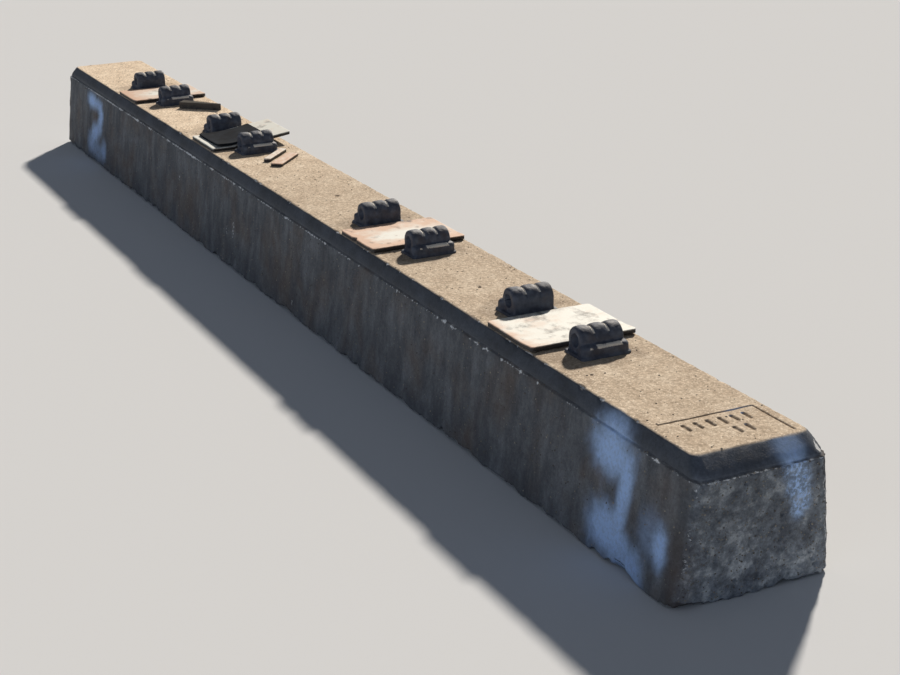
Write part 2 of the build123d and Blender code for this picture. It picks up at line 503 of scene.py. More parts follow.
@dataclass(frozen=True)
class WeatheredConcrete(Finish):
    """Old precast concrete: sandy on top, streaked on the sides.

    The sides, ends and bevels are given darker, bluer colours than the top: partly grime, partly
    painted shade for faces turned away from the sun. The steel mould left the bevels dense and smooth,
    the aggregate shows as pale and dark grains, broken edges are pale, and marking paint was sprayed on
    one end and one side.
    """

    sand_dark: str = "#ab967e"
    sand: str = "#cdb9a0"
    sand_pale: str = "#e9dac4"
    # the side, bevel and end colours are darker and bluer than the sand: partly grime, partly painted shade
    side_dark: str = "#515459"
    side: str = "#62666b"
    side_rusty: str = "#695b4f"
    side_pale: str = "#797d82"
    bevel_dark: str = "#3a4049"
    bevel: str = "#4b535f"
    end_dark: str = "#51565e"
    end_grey: str = "#727981"
    end_pale: str = "#a8aeb3"
    broken: str = "#e2e6e9"
    stain: str = "#5b4838"
    paint: str = "#b2d2ff"
    grain: float = 0.0022
    patch: float = 0.055
    lump: float = 0.018
    chip_size: float = 0.0055
    streak_width: float = 0.028
    streak_height: float = 0.10
    stain_strength: float = 0.75
    matt: float = 0.92
    mould_smooth: float = 0.66
    relief: float = 0.0005

    def look(self, nodes: Nodes, place: Any) -> dict[str, Any]:
        """Lays the parts' colours one over the other, then grains, stains, chips and paint."""
        share = {kind: nodes.attribute(kind.value) for kind in Field if kind is not Field.STONY}
        grains = {"Vector": place, "Scale": 1 / self.grain, "Randomness": 1.0}
        cells = nodes.add("ShaderNodeTexVoronoi", grains)
        grain_tone = nodes.add("ShaderNodeSeparateColor", {"Color": cells.outputs["Color"]}).outputs["Red"]
        dust = nodes.noise(place, 0.35 / self.grain, 6.0, 0.7)
        patches = nodes.noise(place, 1 / self.patch, 5.0, 0.62)
        colour = self.side_colour(nodes, place, patches)
        colour = nodes.over(colour, self.end_colour(nodes, place, patches), share[Field.END])
        colour = nodes.over(colour, self.bevel_colour(nodes, patches), share[Field.BEVEL])
        top = self.top_colour(nodes, place, patches, grain_tone, dust)
        colour = nodes.over(colour, top, share[Field.TOP])
        grainy, dusty = nodes.span(grain_tone, start=0.89, end=1.10), nodes.span(dust, 0.3, 0.7, 0.80, 1.19)
        colour = nodes.scaled(colour, nodes.math("MULTIPLY", grainy, dusty))
        stained = nodes.over(colour, self.stain, self.stain_strength)
        colour = nodes.over(colour, stained, share[Field.STAIN])
        ragged = nodes.math("ADD", share[Field.BROKEN], nodes.noise(place, 1 / self.chip_size, 5.0, 0.65))
        colour = nodes.over(colour, self.broken, nodes.span(ragged, 0.98, 1.08, end=0.9))
        even, spotty = nodes.span(dust, 0.3, 0.6, 0.75, 1.15), nodes.span(dust, 0.44, 0.62, 0.3, 1.3)
        flecks = nodes.between(even, spotty, share[Field.END])
        sprayed = nodes.math("MULTIPLY", share[Field.PAINT], flecks, use_clamp=True)
        return {
            "Base Color": nodes.over(colour, self.paint, sprayed),
            "Roughness": nodes.span(share[Field.BEVEL], start=self.matt, end=self.mould_smooth),
            "Normal": nodes.bump(nodes.math("ADD", dust, grain_tone), self.relief, 0.6),
        }

    def streaks(self, nodes: Nodes, place: Any, wide: float, tall: float, *layers: float) -> Any:
        """Noise drawn out downwards.

        Args:
            nodes: The material's nodes.
            place: Object coordinates.
            wide: How many times finer than the usual streaks it is across.
            tall: How many times finer it is upwards.
            layers: The noise's detail and roughness.

        Returns:
            The noise.
        """
        across, up = wide / self.streak_width, tall / self.streak_height
        drawn_out = nodes.add("ShaderNodeMapping", {"Vector": place, "Scale": (across, across, up)})
        return nodes.noise(drawn_out, 1.0, *layers)

    def side_colour(self, nodes: Nodes, place: Any, patches: Any) -> Node:
        """Colours the long sides, with streaks where water ran down and rusty runs among them; the dark
        grey-blue of the tones is partly painted shade.
        """
        streaks = self.streaks(nodes, place, 1, 1, 4.0, 0.6)
        runs = self.streaks(nodes, place, 0.25, 0.7, 3.0, 0.55)
        colour = nodes.ramp(streaks, (0.30, self.side_dark), (0.5, self.side), (0.70, self.side_pale))
        colour = nodes.over(colour, self.side_rusty, nodes.span(runs, 0.48, 0.68, end=0.6))
        colour = nodes.over(colour, self.side_dark, nodes.span(patches, 0.5, 0.34, end=0.5))
        return nodes.over(colour, self.side_pale, nodes.span(patches, 0.54, 0.7, end=0.5))

    def end_colour(self, nodes: Nodes, place: Any, patches: Any) -> Node:
        """Colours the rough end faces, painted paler towards the ground as painted light for the dimmer
        light that reaches their low part.
        """
        mottle = nodes.between(patches, nodes.noise(place, 1 / self.lump, 6.0, 0.7), 0.6)
        colour = nodes.ramp(mottle, (0.41, self.end_dark), (0.52, self.end_grey), (0.64, self.end_pale))
        # painted light: the ends grow paler towards the ground, making up for the dimmer light low down
        return nodes.scaled(colour, nodes.span(nodes.axis(place, "Z"), 0.13, 0.0, 1.0, 1.6))

    def bevel_colour(self, nodes: Nodes, patches: Any) -> Node:
        """Colours the bevels, paler where they face the near end."""
        colour = nodes.ramp(patches, (0.36, self.bevel_dark), (0.66, self.bevel))
        facing = nodes.axis(nodes.add("ShaderNodeNewGeometry").outputs["Normal"], "X")
        return nodes.scaled(colour, nodes.span(facing, 0.3, 0.7, 1.0, 1.6))

    def top_colour(self, nodes: Nodes, place: Any, patches: Any, grain_tone: Any, dust: Any) -> Node:
        """Colours the sandy top, which is paler towards the far end."""
        blend = nodes.between(patches, dust, 0.55)
        colour = nodes.ramp(blend, (0.32, self.sand_dark), (0.5, self.sand), (0.68, self.sand_pale))
        colour = nodes.over(colour, self.sand_pale, nodes.span(grain_tone, 0.8))
        return nodes.scaled(colour, nodes.span(nodes.axis(place, "X"), 0.1, -0.7, 0.96, 1.28))


@dataclass(frozen=True)
class CastIron(Finish):
    """Cast iron under a skin of dark oxide, with thin rust and pale marks that are partly sandy dust
    and partly painted sun glints.

    Mottle, grit and rusting are how many spots of each there are in a metre.
    """

    skin: str = "#3f4553"
    skin_pale: str = "#5b6371"
    rust: str = "#544c4b"
    # the dust colour also paints the sun's glints in the grooves and on the heel's rim
    dust: str = "#ebe5d9"
    mottle: float = 90.0
    grit: float = 700.0
    rusting: float = 34.0
    relief: float = 0.0006

    def look(self, nodes: Nodes, place: Any) -> dict[str, Any]:
        """Mottles the skin, rusts it and lays the pale dust and painted glints where the mesh says."""
        mottle = nodes.noise(place, self.mottle, 6.0)
        fine = nodes.noise(place, self.grit, 4.0)
        colour = nodes.ramp(mottle, (0.4, self.skin), (0.66, self.skin_pale))
        rusty = nodes.span(nodes.noise(place, self.rusting, 8.0, 0.7), 0.52, 0.72, end=0.7)
        colour = nodes.over(colour, self.rust, rusty)
        dust_and_glint = nodes.math("ADD", nodes.attribute("dust_and_glint"), fine)
        return {
            "Base Color": nodes.over(colour, self.dust, nodes.span(dust_and_glint, 0.86, 1.08, end=0.95)),
            "Roughness": nodes.span(mottle, start=0.45, end=0.85),
            "Normal": nodes.bump(fine, self.relief, 0.6),
        }


@dataclass(frozen=True)
class StainedPlastic(Finish):
    """Moulded pad plastic, matt and gritty, with rust-pink stains, grime and painted shade that its
    mesh places.

    Clouds and grit are how many spots of each there are in a metre.
    """

    base: str = "#eff0e8"
    stained: str = "#dcb89e"
    # the grime colour also serves as painted shade on the pads' and strips' sides
    grime: str = "#34302f"
    clouds: float = 55.0
    grit: float = 420.0
    relief: float = 0.0004

    def look(self, nodes: Nodes, place: Any) -> dict[str, Any]:
        """Stains the plastic and lays grime on it; the grime colour also paints shade on the sides."""
        cloud = nodes.noise(place, self.clouds, 6.0, 0.65)
        fine = nodes.noise(place, self.grit, 4.0, 0.7)
        stain = nodes.math("ADD", nodes.attribute("stain"), cloud)
        marks = nodes.math("ADD", nodes.attribute("grime"), fine)
        colour = nodes.over(self.base, self.stained, nodes.span(stain, 0.55, 1.25))
        return {
            "Base Color": nodes.over(colour, self.grime, nodes.span(marks, 0.72, 1.6)),
            "Roughness": 0.62,
            "Normal": nodes.bump(fine, self.relief, 0.5),
        }


@dataclass(frozen=True)
class AgedRubber(Finish):
    """Dark rubber with a slightly blue bloom and dust that its mesh places.

    Clouds and grit are how many spots of each there are in a metre.
    """

    # base and bloom are kept very dark so that the sheet also stands in for the shade over the second seat:
    # partly painted shade
    base: str = "#161a21"
    bloom: str = "#262d36"
    dust: str = "#6f6a63"
    clouds: float = 38.0
    grit: float = 600.0
    relief: float = 0.0003

    def look(self, nodes: Nodes, place: Any) -> dict[str, Any]:
        """Lays the bloom and the dust."""
        fine = nodes.noise(place, self.grit, 3.0)
        cloud = nodes.noise(place, self.clouds, 6.0, 0.6)
        colour = nodes.ramp(cloud, (0.38, self.base), (0.7, self.bloom))
        lying = nodes.math("ADD", nodes.attribute("stain"), fine)
        return {
            "Base Color": nodes.over(colour, self.dust, nodes.span(lying, 0.62, 1.1, end=0.6)),
            "Roughness": 0.95,
            "Specular IOR Level": 0.1,
            "Normal": nodes.bump(fine, self.relief, 0.5),
        }


@dataclass(frozen=True)
class ToneByStone(Finish):
    """Bare stones of the aggregate, each with a tone of its own."""

    dark: str = "#55504a"
    middle: str = "#79746b"
    pale: str = "#a39b8e"
    grit: float = 900.0
    relief: float = 0.0003

    def look(self, nodes: Nodes, place: Any) -> dict[str, Any]:
        """Gives each stone its tone."""
        stops = (0.1, self.dark), (0.55, self.middle), (1.0, self.pale)
        return {
            "Base Color": nodes.ramp(nodes.attribute("tone"), *stops),
            "Roughness": 0.85,
            "Normal": nodes.bump(nodes.noise(place, self.grit, 3.0), self.relief, 0.6),
        }


@dataclass(frozen=True)
class Hollow:
    """A round hollow in the concrete, such as a blowhole left by an air bubble."""

    centre: Triple
    radius: float
    depth: float


@dataclass(frozen=True)
class Chip:
    """A piece broken off an edge, and how pale the break is."""

    centre: Triple
    length: float
    width: float
    depth: float
    pale: float = 0.62


@dataclass(frozen=True)
class PaintBlot:
    """A soft sprayed blot, given on its face by how far along and how high it is."""

    along: float
    height: float
    half_width: float
    half_height: float
    strength: float = 1.0


@dataclass(frozen=True)
class Zones:
    """How far each point belongs to each part of the concrete, from 0 to 1."""

    top: Rows
    bevel: Rows
    end: Rows
    under: Rows

    @property
    def bare_end(self) -> Rows:
        """The end faces without their bevels."""
        return self.end * (1 - self.bevel)

    @property
    def side(self) -> Rows:
        """The long sides below the bevels."""
        return (1 - self.top) * (1 - self.bevel) * (1 - self.end)

    def mixed(self, top: float, bevel: float, side: float, bare_end: float) -> Rows:
        """Gives each part its own number and blends them at each point."""
        return top * self.top + bevel * self.bevel + side * self.side + bare_end * self.bare_end


@dataclass
class ConcreteBody:
    """The concrete itself: a drafted, bevelled bar with worn edges, pits and an impressed frame.

    Lumps, grains and stones say how high or how many they are on the top, the bevels, the long
    sides and the ends. A lime run gives its place along and up, and its width and height.
    """

    top_width: float = 0.190
    bevel_foot_width: float = 0.218
    bevel_drop: float = 0.027
    end_bevel_run: float = 0.032
    end_set_back: float = 0.013
    corner_radius: float = 0.020
    top_corner_radius: float = 0.014
    ledge: float = 0.0030
    ledge_height: float = 0.0096
    arris_radius: float = 0.0028
    base_tear: float = 0.0110
    base_hollow: float = 0.008
    corner_wear: float = 0.0055
    seat_reach: float = 0.155
    top_edge_wear: float = 0.0022
    foot_edge_wear: float = 0.0012
    end_edge_wear: float = 0.0030
    long_waves: float = 0.0005
    lumps: Four = (0.0005, 0.0003, 0.0009, 0.0026)
    grains: Four = (0.00014, 0.00012, 0.0004, 0.0011)
    stones: Four = (0.10, 0.0, 0.25, 1.0)
    hollow_reach: float = 0.0055
    rough_end: float = 0.016
    stain_offset: float = 0.118
    stain_half_length: float = 0.055
    stain_half_width: float = 0.075
    seat_stain: float = 0.45
    corner_stain: float = 0.55
    foot_chips: int = 46
    top_chips: int = 60
    end_chips: int = 12
    corner_chips: int = 20
    near_end_hollows: int = 34
    far_end_hollows: int = 20
    side_hollows: int = 34
    top_hollows: int = 26
    large_hollows: tuple[Triple, ...] = ((0.117, 0.006, 0.006), (0.791, -0.014, 0.005))
    near_chips: tuple[float, ...] = (0.849, 0.880, 0.967, 1.003, 1.118)
    far_chips: tuple[float, ...] = (-1.072, -0.925, -0.814, -0.663, -0.477, -0.343)
    lime_runs: tuple[Four, ...] = (
        (0.190, 0.030, 0.007, 0.030),
        (-0.175, 0.090, 0.008, 0.045),
        (-0.215, 0.080, 0.007, 0.030),
        (-0.560, 0.120, 0.007, 0.035),
        (0.640, 0.150, 0.006, 0.020),
    )
    side_blots: tuple[PaintBlot, ...] = (
        PaintBlot(1.396, 0.158, 0.052, 0.036, 1.0),
        PaintBlot(1.392, 0.196, 0.040, 0.018, 0.72),
        PaintBlot(1.440, 0.125, 0.018, 0.040, 0.95),
        PaintBlot(1.435, 0.085, 0.016, 0.040, 0.85),
        PaintBlot(1.402, 0.046, 0.048, 0.038, 1.0),
        PaintBlot(1.450, 0.030, 0.040, 0.026, 0.75),
        PaintBlot(1.486, 0.014, 0.024, 0.024, 0.7),
        PaintBlot(1.538, 0.072, 0.017, 0.030, 1.0),
        PaintBlot(1.512, 0.082, 0.030, 0.036, 0.35),
        PaintBlot(-1.340, 0.160, 0.044, 0.020, 1.0),
        PaintBlot(-1.280, 0.158, 0.034, 0.016, 0.75),
        PaintBlot(-1.250, 0.132, 0.022, 0.030, 0.9),
        PaintBlot(-1.262, 0.100, 0.028, 0.024, 0.7),
        PaintBlot(-1.300, 0.080, 0.034, 0.026, 0.85),
        PaintBlot(-1.335, 0.050, 0.034, 0.030, 0.55),
        PaintBlot(-1.270, 0.036, 0.060, 0.024, 0.4),
        PaintBlot(-1.210, 0.048, 0.022, 0.028, 0.55),
    )
    end_blots: tuple[PaintBlot, ...] = (
        PaintBlot(0.050, 0.208, 0.024, 0.016, 0.8),
        PaintBlot(0.050, 0.184, 0.020, 0.018, 0.9),
        PaintBlot(0.056, 0.156, 0.020, 0.024, 1.0),
        PaintBlot(0.064, 0.124, 0.017, 0.024, 0.95),
    )
    seed: int = 11
    length: float = field(init=False)
    base_width: float = field(init=False)
    height: float = field(init=False)

    def __post_init__(self) -> None:
        """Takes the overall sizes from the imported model."""
        low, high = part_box("sleeper_body")
        self.length, self.base_width, self.height = high - low

    @property
    def bevel_foot(self) -> float:
        """The height at which the bevel starts."""
        return self.height - self.bevel_drop

    def inset(self, z: Rows) -> Rows:
        """How far the ledge and the rounded edges stand back from the plain section at each height."""
        foot, r = self.bevel_foot, self.arris_radius
        ledge = np.interp(
            z,
            (foot - 0.0035, foot - 0.0008, foot, foot + 0.0012, foot + 0.003, foot + self.ledge_height),
            (0, 0.0007, self.ledge, self.ledge * 1.15, self.ledge * 0.55, 0),
        )
        above = np.clip(z - (self.height - r), 0, r)
        below = np.clip(r - z, 0, r)
        return ledge + (r - np.sqrt(r * r - above**2)) * 0.8 + (r - np.sqrt(r * r - below**2))

    def surface(self) -> Mesh:
        """Builds the plain drafted and bevelled surface, cut finer at its edges and its near end."""
        half, top, foot = self.length / 2, self.top_width / 2, self.bevel_foot
        edge, far_part, near_part, brim = 0.009, 0.2, 0.34, 0.006
        edge_cell, brim_cell, ledge_cell, arris_cell = 0.0018, 0.0015, 0.0012, 0.0007
        plain_cell, near_cell, middle_cell, side_cell = 0.0052, 0.0044, 0.0068, 0.0088
        x = cuts(
            (-half, edge - half, edge_cell),
            (edge - half, far_part - half, plain_cell),
            (far_part - half, half - near_part, middle_cell),
            (half - near_part, half - edge, near_cell),
            (half - edge, half, edge_cell),
        )
        y = cuts(
            (-top, brim - top, brim_cell), (brim - top, top - brim, plain_cell), (top - brim, top, brim_cell)
        )
        z = cuts(
            (0, brim, brim_cell),
            (brim, foot - 0.0035, side_cell),
            (foot - 0.0035, foot, ledge_cell),
            (foot, foot + 0.0036, ledge_cell),
            (foot + 0.0036, self.height - self.arris_radius, plain_cell),
            (self.height - self.arris_radius, self.height, arris_cell),
        )
        last = len(y) - 1
        edge_rows = [0, 1, 2, 4, 7]
        kept = edge_rows + list(range(12, last - 10, 6)) + [last - row for row in reversed(edge_rows)]
        steps, faces = box_skin((len(x), len(y), len(z)), kept)
        height = z[steps[:, 2]]
        inset = self.inset(height)

        def drafted(*sizes: float) -> Rows:
            """Blends the sizes at the floor, at the bevel's foot and at the top."""
            return np.interp(height, (0, foot, self.height), sizes)

        half_x = drafted(half - self.end_set_back, half, half - self.end_bevel_run) - inset
        half_y = drafted(self.base_width / 2, self.bevel_foot_width / 2, top) - inset
        radius = drafted(self.corner_radius, self.corner_radius, self.top_corner_radius)
        plan_x, plan_y = x[steps[:, 0]] / half * half_x, y[steps[:, 1]] / top * half_y
        plan_x, plan_y = round_plan(plan_x, plan_y, half_x, half_y, radius)
        return make_mesh("sleeper_concrete", np.stack((plan_x, plan_y, height), -1), faces)

    def edge_chips(self) -> list[Chip]:
        """Lists the pieces broken off the edges: those that show near the camera, and random ones."""
        chance = random.Random(self.seed)
        half, foot, side = self.length / 2, self.bevel_foot, self.bevel_foot_width / 2
        chips = [Chip((x, -side, foot - 0.005), 0.0095, 0.0075, 0.0022) for x in self.near_chips]
        chips += [Chip((x, -side, foot - 0.002), 0.016, 0.0040, 0.0016) for x in self.far_chips]
        chips.append(Chip((1.502, -side, foot - 0.005), 0.011, 0.0065, 0.0032))
        for _ in range(self.foot_chips):
            x = chance.uniform(-half, half)
            size = chance.uniform(0.003, 0.007)
            chips.append(Chip((x, chance.choice((-side, side)), foot - 0.002), size, 0.0032, 0.0016))
        for _ in range(self.top_chips):
            x, way = chance.uniform(-half, half), chance.choice((-1, 1))
            size = chance.uniform(0.003, 0.010)
            chips.append(Chip((x, way * self.top_width / 2, self.height), size, 0.0038, 0.0020))
        for _ in range(self.end_chips):
            y, way = chance.uniform(-side, side), chance.choice((-1, 1))
            chips.append(Chip((way * half, y, foot), chance.uniform(0.003, 0.008), 0.0040, 0.0018))
        for _ in range(self.corner_chips):
            way, across = chance.choice((-1, 1)), chance.choice((-1, 1))
            z = chance.uniform(0.01, foot)
            width = np.interp(z, (0, foot), (self.base_width / 2, side)) - 0.006
            chips.append(Chip((way * (half - 0.010), across * width, z), 0.005, 0.007, 0.0022, 0.44))
        chips.append(Chip((half - 0.014, side - 0.010, foot + 0.010), 0.016, 0.010, 0.0035))
        chips.append(Chip((half - 0.006, side - 0.006, foot - 0.008), 0.008, 0.009, 0.0025))
        return chips

    def hollows(self) -> list[Hollow]:
        """Lists the blowholes: small ones all over, larger ones on the near end."""
        chance = random.Random(self.seed + 1)
        half, foot = self.length / 2, self.bevel_foot
        found = []
        for way, count in ((1, self.near_end_hollows), (-1, self.far_end_hollows)):
            for _ in range(count):
                z = chance.uniform(0.015, foot - 0.01)
                x = way * (half - self.end_set_back * (1 - z / foot))
                radius = chance.uniform(0.0016, 0.0042)
                found.append(Hollow((x, chance.uniform(-0.105, 0.105), z), radius, radius * 0.8))
        for way in (-1, 1):
            for _ in range(self.side_hollows):
                z = chance.uniform(0.015, foot - 0.01)
                y = way * float(np.interp(z, (0, foot), (self.base_width / 2, self.bevel_foot_width / 2)))
                radius = chance.uniform(0.0018, 0.0040)
                x = chance.uniform(-half + 0.03, half - 0.03)
                found.append(Hollow((x, y, z), radius, radius * 0.7))
        for _ in range(self.top_hollows):
            place = (chance.uniform(-half + 0.05, half - 0.05), chance.uniform(-0.085, 0.085), self.height)
            radius = chance.uniform(0.0018, 0.0036)
            found.append(Hollow(place, radius, radius * 0.6))
        return found + [Hollow((x, y, self.height), radius, 0.003) for x, y, radius in self.large_hollows]

    def build(self, finish: Material, seats: Sequence[float]) -> Piece:
        """Builds, wears and dresses the concrete.

        Args:
            finish: The concrete's material.
            seats: The middles of the rail seats along X.

        Returns:
            The finished piece.
        """
        mesh = self.surface()
        imprint = ImpressedFrame(self.height)
        hollows = self.hollows()
        tree = KDTree(len(hollows))
        for number, hollow in enumerate(hollows):
            tree.insert(hollow.centre, number)
        tree.balance()
        near_end = self.length / 2 - self.rough_end
        refine(mesh, lambda p: p.x > near_end and p.z < self.bevel_foot, 1)
        refine(mesh, lambda p: tree.find(p)[2] < self.hollow_reach or imprint.near_point(p), 3)
        self.wear(mesh, hollows, imprint, seats)
        self.mark_paint_and_stain(mesh, seats)
        return dress("concrete", mesh, finish, "concrete", "sleeper_body")

    def zones(self, points: Rows, normals: Rows) -> Zones:
        """Tells the parts of the plain surface from each other by height and normal."""
        z, foot = points[:, 2], self.bevel_foot
        top = smooth_step(z, self.height - 0.0012, self.height - 0.0002)
        bevel = smooth_step(z, foot - 0.0002, foot + 0.0008) * (1 - top)
        end = smooth_step(np.abs(normals[:, 0]), 0.35, 0.8) * (1 - top)
        return Zones(top, bevel, end, smooth_step(-normals[:, 2], 0.6, 0.95))

    def wear(
        self, mesh: Mesh, hollows: Sequence[Hollow], imprint: "ImpressedFrame", seats: Sequence[float]
    ) -> None:
        """Roughens the surface and breaks its edges, and notes what each part of it is.

        Args:
            mesh: The plain surface, which is changed.
            hollows: Its blowholes.
            imprint: The frame pressed into its top.
            seats: The middles of the rail seats along X, round which the top is smoother.
        """
        points, normals = read_points(mesh), read_normals(mesh)
        z = points[:, 2]
        zones = self.zones(points, normals)
        fine = rumple(points, 0.009, 3, 12.9)
        ragged = np.clip(rumple(points * (1, 1, 0.2), 0.030, 4, 33.0) + 0.25, 0, 1.3)
        chipped, broken = self.chipped(points, fine)
        push = self.relief(points, zones, fine, seats) - chipped - self.worn_edges(points, zones)
        for hollow in hollows:
            near = np.sum((points - np.array(hollow.centre)) ** 2, 1) / hollow.radius**2
            push -= hollow.depth * np.sqrt(np.clip(1 - near, 0, 1))
        sunk = imprint.depth_at(points)
        moved = points + normals * (push - sunk)[:, None]
        moved[:, 2] = np.maximum(moved[:, 2] + self.torn_base(points, zones, ragged), 0)
        write_points(mesh, moved)
        stony = zones.mixed(*self.stones) + 0.5 * np.clip(ragged, 0, 1) * smooth_step(-z, -0.03, 0)
        kept = {
            Field.TOP: zones.top,
            Field.BEVEL: zones.bevel,
            Field.END: zones.bare_end,
            # the pale edges hold a painted highlight along the bevel's foot as well as chips, knocks and
            # lime
            Field.BROKEN: np.maximum(broken, self.pale_edges(points, zones)),
            Field.STONY: stony * (1 - zones.under) * smooth_step(z, 0.003, 0.010),
            # partly dirt, partly painted shade: the pressed strokes are darkened by their depth
            Field.STAIN: 0.75 * sunk / imprint.depth,
        }
        for kind, values in kept.items():
            store(mesh, kind.value, values)

    def relief(self, points: Rows, zones: Zones, fine: Rows, seats: Sequence[float]) -> Rows:
        """How far the surface waves in and out: least under the pads, most on the ends.

        Args:
            points: The plain surface's points.
            zones: The parts that they belong to.
            fine: Fine noise.
            seats: The middles of the rail seats along X.

        Returns:
            How far each point moves outwards.
        """
        push = self.long_waves * rumple(points, 0.22, 2, 3.1)
        push += rumple(points, 0.026, 4, 7.3) * zones.mixed(*self.lumps)
        push += fine * zones.mixed(*self.grains)
        push *= 1 - zones.under
        pressed = np.min([np.abs(points[:, 0] - seat) for seat in seats], 0) < self.seat_reach
        return np.where(pressed & (zones.top > 0.5), -0.4 * np.abs(push), push)

    def chipped(self, points: Rows, fine: Rows) -> tuple[Rows, Rows]:
        """Works out how deep the chips go and how pale they are at each point."""
        half = self.length / 2
        depth, pale = np.zeros(len(points)), np.zeros(len(points))
        for chip in self.edge_chips():
            x, y, _ = chip.centre
            along_y = abs(abs(x) - half) < 0.02 and abs(y) < self.top_width / 2
            sizes = np.full(3, chip.width)
            sizes[1 if along_y else 0] = chip.length
            near = ((points - np.array(chip.centre)) / sizes) ** 2
            bite = np.clip(1.1 + 0.35 * fine - near.sum(1), 0, 1)
            depth += chip.depth * smooth_step(bite, 0, 0.8)
            pale = np.maximum(pale, chip.pale * smooth_step(bite, 0.0, 0.6))
        return depth, pale

    def upright_corners(self, points: Rows) -> Rows:
        """How near each point is to an upright corner, from 0 to 1."""
        x, y, z = points.T
        half = self.length / 2
        width = np.interp(z, (0, self.bevel_foot), (self.base_width / 2, self.bevel_foot_width / 2))
        return bell(np.abs(y), width - 0.008, 0.008) * smooth_step(np.abs(x), half - 0.024, half - 0.012)

    def worn_edges(self, points: Rows, zones: Zones) -> Rows:
        """How much has worn off the top's edges, the bevel's foot and the upright corners."""
        x, y, z = points.T
        half, foot = self.length / 2, self.bevel_foot
        past_end = (np.abs(x) - half + self.end_bevel_run) / 0.01 + 1
        brim = np.maximum(np.abs(y) / (self.top_width / 2), past_end)
        top_edge = self.top_edge_wear * bell(z, self.height, 0.003) * smooth_step(brim, 0.975, 1.0)
        foot_edge = (self.foot_edge_wear + self.end_edge_wear * zones.end) * bell(z, foot - 0.0012, 0.0022)
        worn = np.clip(rumple(points, 0.012, 3, 21.7) - 0.05, 0, 1) * (top_edge + foot_edge)
        knocked = np.clip(rumple(points, 0.020, 4, 67.0) + 0.1, 0, 1) * (z < foot)
        return worn + self.corner_wear * self.upright_corners(points) * knocked

    def pale_edges(self, points: Rows, zones: Zones) -> Rows:
        """How pale knocks, lime, wear and a painted highlight along the bevel's foot have left the edges and
        sides at each point.
        """
        x, y, z = points.T
        foot = self.bevel_foot
        # painted highlight and wear: a pale line along the bevel's foot, where the ledge catches light and
        # the arris is worn
        worn_and_lit_rim = 0.44 + 0.20 * rumple(points * (1, 1, 0), 0.11, 2, 27.0) + 0.12 * smooth_step(-x, -0.6, 0.9)
        pale = bell(z, foot - 0.0020, 0.0028) * worn_and_lit_rim
        for run_x, run_z, run_width, run_height in self.lime_runs:
            run = bell(x, run_x, run_width) * bell(z, run_z, run_height)
            pale = np.maximum(pale, 0.56 * run * (y < 0) * zones.side)
        knocked = 0.44 + 0.24 * rumple(points * (0, 1, 1), 0.045, 3, 61.0)
        return np.maximum(pale, self.upright_corners(points) * (z < foot - 0.004) * knocked)

    def torn_base(self, points: Rows, zones: Zones, ragged: Rows) -> Rows:
        """How far the ragged lower edge is lifted off the floor at each point."""
        x, y, z = points.T
        hollowed = np.clip(rumple(points * (1, 1, 0), 0.10, 2, 35.0) + 0.15, 0, 1)
        rise = ragged * self.base_tear * smooth_step(-z, -0.013, 0)
        rise += self.base_hollow * hollowed * smooth_step(-z, -0.030, 0)
        from_end = self.length / 2 - self.end_set_back - np.abs(x)
        from_edge = np.minimum(self.base_width / 2 - np.abs(y), from_end)
        return rise * np.where(zones.under > 0.5, 1 - smooth_step(from_edge, 0.0, 0.016), 1)

    def mark_paint_and_stain(self, mesh: Mesh, seats: Sequence[float]) -> None:
        """Notes where the paint and the iron's stains lie.

        Args:
            mesh: The worn surface.
            seats: The middles of the rail seats along X.
        """
        points, normals = read_points(mesh), read_normals(mesh)
        x, y, z = points.T
        wobble = 0.35 * rumple(points, 0.018, 3, 51.0)

        def blotted(blots: Sequence[PaintBlot], along: Rows) -> Rows:
            """How much of each point one face's blots cover."""
            bare = np.ones(len(points))
            for blot in blots:
                across, up = (along - blot.along) / blot.half_width, (z - blot.height) / blot.half_height
                mist = np.exp(-np.clip((across**2 + up**2) * (1 + wobble), 0, None) ** 1.7)
                bare *= 1 - 0.96 * blot.strength * mist
            return 1 - bare

        near_side, near_end = smooth_step(-normals[:, 1], 0.3, 0.7), smooth_step(normals[:, 0], 0.3, 0.7)
        paint = np.maximum(near_side * blotted(self.side_blots, x), near_end * blotted(self.end_blots, y))
        store(mesh, Field.PAINT.value, paint)
        store(mesh, Field.STONY.value, stored(mesh, Field.STONY.value) * (1 - np.clip(1.5 * paint, 0, 1)))
        stain = np.zeros(len(points))
        for seat in seats:
            for way in (-1, 1):
                along = (x - seat - way * self.stain_offset) / self.stain_half_length
                away = np.sqrt(along**2 + ((y + 0.012) / self.stain_half_width) ** 2)
                stain = np.maximum(stain, smooth_step(-away + wobble, -1.25, -0.75))
        stain *= smooth_step(z, self.height - 0.004, self.height - 0.001)
        corner = bell(y, 0.010 - self.base_width / 2, 0.020) * smooth_step(x, 1.545, 1.575)
        corner *= smooth_step(-z, -0.14, -0.05) * (1 + wobble)
        stain = np.clip(self.seat_stain * stain + self.corner_stain * corner, 0, 1)
        store(mesh, Field.STAIN.value, np.maximum(stored(mesh, Field.STAIN.value), stain))


